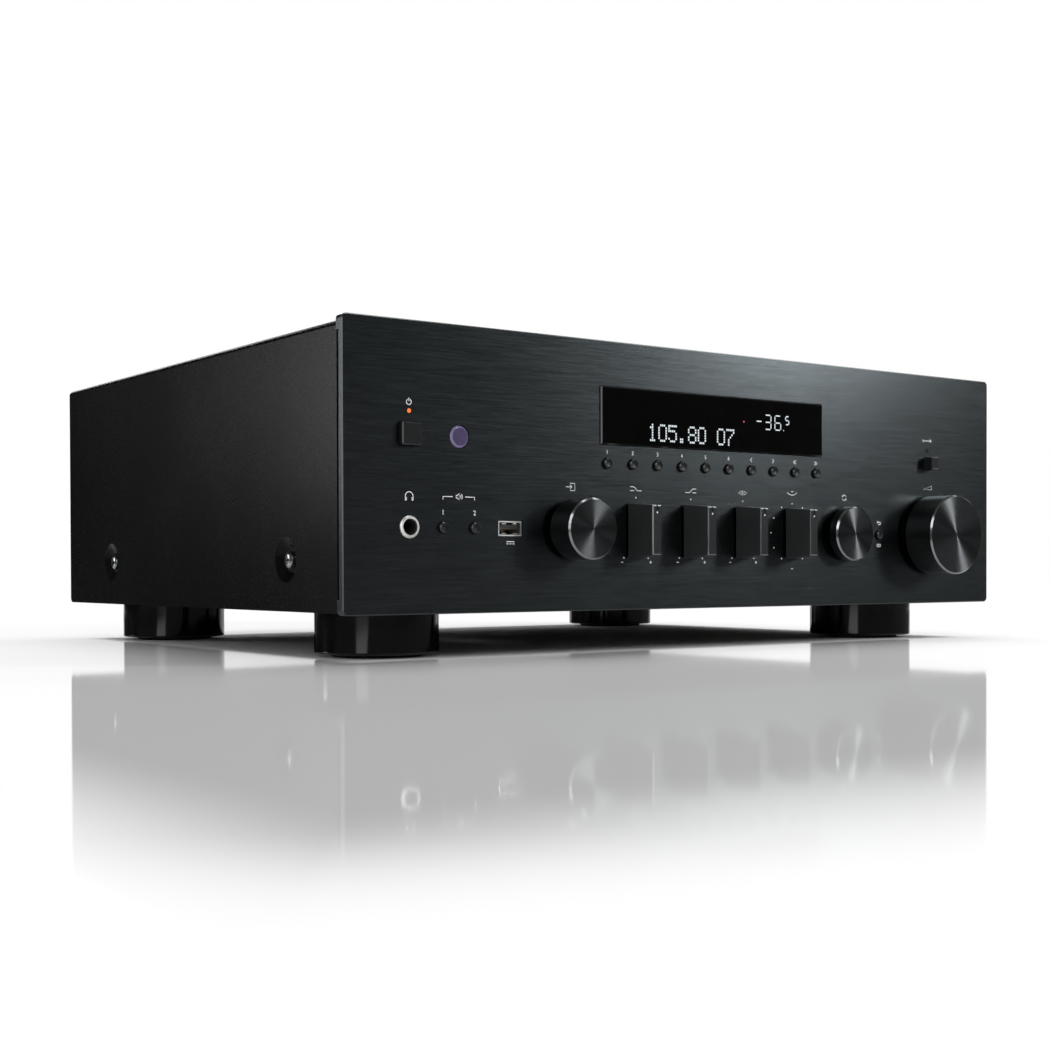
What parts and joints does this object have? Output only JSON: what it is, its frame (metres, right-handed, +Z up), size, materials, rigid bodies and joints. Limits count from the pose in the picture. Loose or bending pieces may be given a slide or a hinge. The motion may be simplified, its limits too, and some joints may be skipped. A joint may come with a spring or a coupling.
{
  "type": "stereo receiver",
  "caption": "Full-width black stereo receiver with a brushed front panel, round knobs, wedge tone knobs, push buttons, a display window and rear speaker terminals.",
  "frame": {"origin": "on the floor under the feet, at the middle of the overall width and depth", "axes": "+Z up, -Y out of the front panel, +X to the right as seen from the front"},
  "size_m": [0.435, 0.3926, 0.151],
  "materials": {
    "brushed_panel": "black anodised, brushed lengthwise",
    "dark_plastic": "fine moulded",
    "smoked_window": "polished smoked acrylic",
    "display_glass": "dark display glass",
    "tinted_lens": "tinted, polished",
    "indicator": "clear light pipe",
    "plated": "nickel plate",
    "textured_paint": "black fine wrinkle paint",
    "bare_steel": "zinc plated",
    "satin_paint": "black satin paint",
    "gloss_black": "polished black moulding",
    "pad_rubber": "soft pad",
    "screw_steel": "blackened",
    "core_steel": "varnished laminations",
    "sink_aluminium": "black anodised",
    "component_black": "sleeved",
    "board_green": "solder resist",
    "button_finish": "satin black",
    "knob_finish": "black anodised, spun faces",
    "cap_red": "clear red moulding",
    "cap_black": "black moulding"
  },
  "bodies": {
    "chassis": {"fascia": "brushed_panel", "front_frame": "dark_plastic", "display_window": "smoked_window", "display_module": "display_glass", "receiver_lens": "tinted_lens", "indicator_lenses": "indicator", "phones_jack": "plated", "usb_port": "plated", "top_cover": "textured_paint", "base_tray": "satin_paint", "rear_panel": "satin_paint", "feet": "gloss_black", "foot_pads": "pad_rubber", "screws": "screw_steel", "power_transformer": "core_steel", "heat_sink": "sink_aluminium", "power_components": "component_black", "main_board": "board_green", "front_board": "board_green", "control_bodies": "bare_steel", "phono_jacks": "plated", "speaker_terminals": "dark_plastic", "digital_sockets": "dark_plastic", "mains_inlet": "dark_plastic", "aerial_socket": "plated", "aerial_foot": "dark_plastic"},
    "power_button": {"power_button": "button_finish"},
    "speaker_a_button": {"speaker_a_button": "button_finish"},
    "speaker_b_button": {"speaker_b_button": "button_finish"},
    "function_button_1": {"function_button_1": "button_finish"},
    "function_button_2": {"function_button_2": "button_finish"},
    "function_button_3": {"function_button_3": "button_finish"},
    "function_button_4": {"function_button_4": "button_finish"},
    "function_button_5": {"function_button_5": "button_finish"},
    "function_button_6": {"function_button_6": "button_finish"},
    "function_button_7": {"function_button_7": "button_finish"},
    "function_button_8": {"function_button_8": "button_finish"},
    "function_button_9": {"function_button_9": "button_finish"},
    "function_button_10": {"function_button_10": "button_finish"},
    "return_button": {"return_button": "button_finish"},
    "direct_button": {"direct_button": "button_finish"},
    "input_knob": {"input_knob": "knob_finish", "input_shaft": "bare_steel"},
    "volume_knob": {"volume_knob": "knob_finish", "volume_shaft": "bare_steel"},
    "select_shaft": {"select_shaft": "bare_steel"},
    "select_knob": {"select_knob": "knob_finish"},
    "bass_knob": {"bass_knob": "knob_finish"},
    "treble_knob": {"treble_knob": "knob_finish"},
    "balance_knob": {"balance_knob": "knob_finish"},
    "loudness_knob": {"loudness_knob": "knob_finish"},
    "terminal_cap_1": {"terminal_cap_1": "cap_red"},
    "terminal_cap_2": {"terminal_cap_2": "cap_black"},
    "terminal_cap_3": {"terminal_cap_3": "cap_red"},
    "terminal_cap_4": {"terminal_cap_4": "cap_black"},
    "terminal_cap_5": {"terminal_cap_5": "cap_red"},
    "terminal_cap_6": {"terminal_cap_6": "cap_black"},
    "terminal_cap_7": {"terminal_cap_7": "cap_red"},
    "terminal_cap_8": {"terminal_cap_8": "cap_black"},
    "wireless_aerial": {"wireless_aerial": "dark_plastic"}
  },
  "joints": [
    {"name": "power_button_push", "type": "slide", "parent": "chassis", "child": "power_button", "axis": [0, 1, 0], "range_m": [0, 0.0008], "stiffness_N_per_m": 1500},
    {"name": "speaker_a_button_push", "type": "slide", "parent": "chassis", "child": "speaker_a_button", "axis": [0, 1, 0], "range_m": [0, 0.0008], "stiffness_N_per_m": 1500},
    {"name": "speaker_b_button_push", "type": "slide", "parent": "chassis", "child": "speaker_b_button", "axis": [0, 1, 0], "range_m": [0, 0.0008], "stiffness_N_per_m": 1500},
    {"name": "function_button_1_push", "type": "slide", "parent": "chassis", "child": "function_button_1", "axis": [0, 1, 0], "range_m": [0, 0.0008], "stiffness_N_per_m": 1500},
    {"name": "function_button_2_push", "type": "slide", "parent": "chassis", "child": "function_button_2", "axis": [0, 1, 0], "range_m": [0, 0.0008], "stiffness_N_per_m": 1500},
    {"name": "function_button_3_push", "type": "slide", "parent": "chassis", "child": "function_button_3", "axis": [0, 1, 0], "range_m": [0, 0.0008], "stiffness_N_per_m": 1500},
    {"name": "function_button_4_push", "type": "slide", "parent": "chassis", "child": "function_button_4", "axis": [0, 1, 0], "range_m": [0, 0.0008], "stiffness_N_per_m": 1500},
    {"name": "function_button_5_push", "type": "slide", "parent": "chassis", "child": "function_button_5", "axis": [0, 1, 0], "range_m": [0, 0.0008], "stiffness_N_per_m": 1500},
    {"name": "function_button_6_push", "type": "slide", "parent": "chassis", "child": "function_button_6", "axis": [0, 1, 0], "range_m": [0, 0.0008], "stiffness_N_per_m": 1500},
    {"name": "function_button_7_push", "type": "slide", "parent": "chassis", "child": "function_button_7", "axis": [0, 1, 0], "range_m": [0, 0.0008], "stiffness_N_per_m": 1500},
    {"name": "function_button_8_push", "type": "slide", "parent": "chassis", "child": "function_button_8", "axis": [0, 1, 0], "range_m": [0, 0.0008], "stiffness_N_per_m": 1500},
    {"name": "function_button_9_push", "type": "slide", "parent": "chassis", "child": "function_button_9", "axis": [0, 1, 0], "range_m": [0, 0.0008], "stiffness_N_per_m": 1500},
    {"name": "function_button_10_push", "type": "slide", "parent": "chassis", "child": "function_button_10", "axis": [0, 1, 0], "range_m": [0, 0.0008], "stiffness_N_per_m": 1500},
    {"name": "return_button_push", "type": "slide", "parent": "chassis", "child": "return_button", "axis": [0, 1, 0], "range_m": [0, 0.0008], "stiffness_N_per_m": 1500},
    {"name": "direct_button_push", "type": "slide", "parent": "chassis", "child": "direct_button", "axis": [0, 1, 0], "range_m": [0, 0.0008], "stiffness_N_per_m": 1500},
    {"name": "input_knob_turn", "type": "hinge", "parent": "chassis", "child": "input_knob", "pos_m": [-0.0942, -0.1755, 0.0597], "axis": [0, 1, 0], "continuous": true},
    {"name": "volume_knob_turn", "type": "hinge", "parent": "chassis", "child": "volume_knob", "pos_m": [0.1634, -0.1755, 0.0597], "axis": [0, 1, 0], "continuous": true},
    {"name": "select_knob_push", "type": "slide", "parent": "chassis", "child": "select_shaft", "axis": [0, 1, 0], "range_m": [0, 0.0006], "stiffness_N_per_m": 2000},
    {"name": "select_knob_turn", "type": "hinge", "parent": "select_shaft", "child": "select_knob", "pos_m": [0.0942, -0.1755, 0.0597], "axis": [0, 1, 0], "continuous": true},
    {"name": "bass_knob_turn", "type": "hinge", "parent": "chassis", "child": "bass_knob", "pos_m": [-0.054, -0.1755, 0.0597], "axis": [0, 1, 0], "range_deg": [-150, 150]},
    {"name": "treble_knob_turn", "type": "hinge", "parent": "chassis", "child": "treble_knob", "pos_m": [-0.018, -0.1755, 0.0597], "axis": [0, 1, 0], "range_deg": [-150, 150]},
    {"name": "balance_knob_turn", "type": "hinge", "parent": "chassis", "child": "balance_knob", "pos_m": [0.018, -0.1755, 0.0597], "axis": [0, 1, 0], "range_deg": [-150, 150]},
    {"name": "loudness_knob_turn", "type": "hinge", "parent": "chassis", "child": "loudness_knob", "pos_m": [0.054, -0.1755, 0.0597], "axis": [0, 1, 0], "range_deg": [-150, 150]},
    {"name": "terminal_cap_1_turn", "type": "hinge", "parent": "chassis", "child": "terminal_cap_1", "pos_m": [-0.0985, 0.1575, 0.061], "axis": [0, 1, 0], "range_deg": [0, 720]},
    {"name": "terminal_cap_2_turn", "type": "hinge", "parent": "chassis", "child": "terminal_cap_2", "pos_m": [-0.0795, 0.1575, 0.061], "axis": [0, 1, 0], "range_deg": [0, 720]},
    {"name": "terminal_cap_3_turn", "type": "hinge", "parent": "chassis", "child": "terminal_cap_3", "pos_m": [-0.0605, 0.1575, 0.061], "axis": [0, 1, 0], "range_deg": [0, 720]},
    {"name": "terminal_cap_4_turn", "type": "hinge", "parent": "chassis", "child": "terminal_cap_4", "pos_m": [-0.0415, 0.1575, 0.061], "axis": [0, 1, 0], "range_deg": [0, 720]},
    {"name": "terminal_cap_5_turn", "type": "hinge", "parent": "chassis", "child": "terminal_cap_5", "pos_m": [-0.0985, 0.1575, 0.097], "axis": [0, 1, 0], "range_deg": [0, 720]},
    {"name": "terminal_cap_6_turn", "type": "hinge", "parent": "chassis", "child": "terminal_cap_6", "pos_m": [-0.0795, 0.1575, 0.097], "axis": [0, 1, 0], "range_deg": [0, 720]},
    {"name": "terminal_cap_7_turn", "type": "hinge", "parent": "chassis", "child": "terminal_cap_7", "pos_m": [-0.0605, 0.1575, 0.097], "axis": [0, 1, 0], "range_deg": [0, 720]},
    {"name": "terminal_cap_8_turn", "type": "hinge", "parent": "chassis", "child": "terminal_cap_8", "pos_m": [-0.0415, 0.1575, 0.097], "axis": [0, 1, 0], "range_deg": [0, 720]},
    {"name": "wireless_aerial_turn", "type": "hinge", "parent": "chassis", "child": "wireless_aerial", "pos_m": [0.19, 0.1575, 0.129], "axis": [0, 1, 0], "range_deg": [0, 90]}
  ]
}
